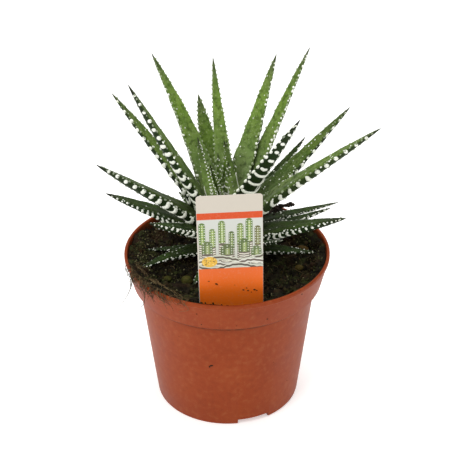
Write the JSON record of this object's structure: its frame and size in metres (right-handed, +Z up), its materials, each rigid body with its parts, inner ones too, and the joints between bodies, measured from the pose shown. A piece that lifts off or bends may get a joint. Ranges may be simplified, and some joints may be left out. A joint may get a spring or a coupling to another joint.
{
  "type": "potted haworthia",
  "caption": "Small rosette succulent with pointed white-banded leaves, in a terracotta-coloured plastic nursery pot of soil with a plain plant label.",
  "frame": {"origin": "centre of the pot's underside, where the pot stands on the table", "axes": "+Z up; -Y to the front, where the plant label stands; +X to the right seen from the front"},
  "size_m": [0.1575, 0.1284, 0.2099],
  "materials": {
    "leaf": null,
    "old_leaf": "semi-matte dark green skin with raised white bands and dots",
    "withered_leaf": "dry, wrinkled, dull brown-black",
    "crown": "pale green leaf bases, dull",
    "soil": null,
    "pot": "semi-matte moulded terracotta-coloured plastic",
    "label": null,
    "gravel": "dull olive-brown pebbles"
  },
  "bodies": {
    "root": {"nursery_pot": "pot", "potting_soil": "soil", "crown_stem": "crown", "plant_label": "label", "inner_leaf_1": "leaf", "inner_leaf_2": "leaf", "inner_leaf_3": "leaf", "inner_leaf_4": "leaf", "inner_leaf_5": "leaf", "inner_leaf_6": "leaf", "middle_leaf_1": "leaf", "middle_leaf_2": "leaf", "middle_leaf_3": "leaf", "middle_leaf_4": "leaf", "middle_leaf_5": "leaf", "middle_leaf_6": "leaf", "middle_leaf_7": "leaf", "middle_leaf_8": "leaf", "middle_leaf_9": "leaf", "middle_leaf_10": "leaf", "middle_leaf_11": "leaf", "outer_leaf_1": "old_leaf", "outer_leaf_2": "old_leaf", "outer_leaf_3": "old_leaf", "outer_leaf_4": "old_leaf", "outer_leaf_5": "old_leaf", "outer_leaf_6": "old_leaf", "outer_leaf_7": "old_leaf", "outer_leaf_8": "old_leaf", "outer_leaf_9": "old_leaf", "outer_leaf_10": "old_leaf", "outer_leaf_11": "old_leaf", "outer_leaf_12": "old_leaf", "outer_leaf_13": "old_leaf", "outer_leaf_14": "old_leaf", "outer_leaf_15": "old_leaf", "outer_leaf_16": "old_leaf", "outer_leaf_17": "old_leaf", "outer_leaf_18": "old_leaf", "withered_leaf": "withered_leaf", "pebble_right": "gravel", "pebble_right_small": "gravel", "pebble_front_left": "gravel", "pebble_left": "gravel", "pebble_back": "gravel"}
  },
  "joints": []
}
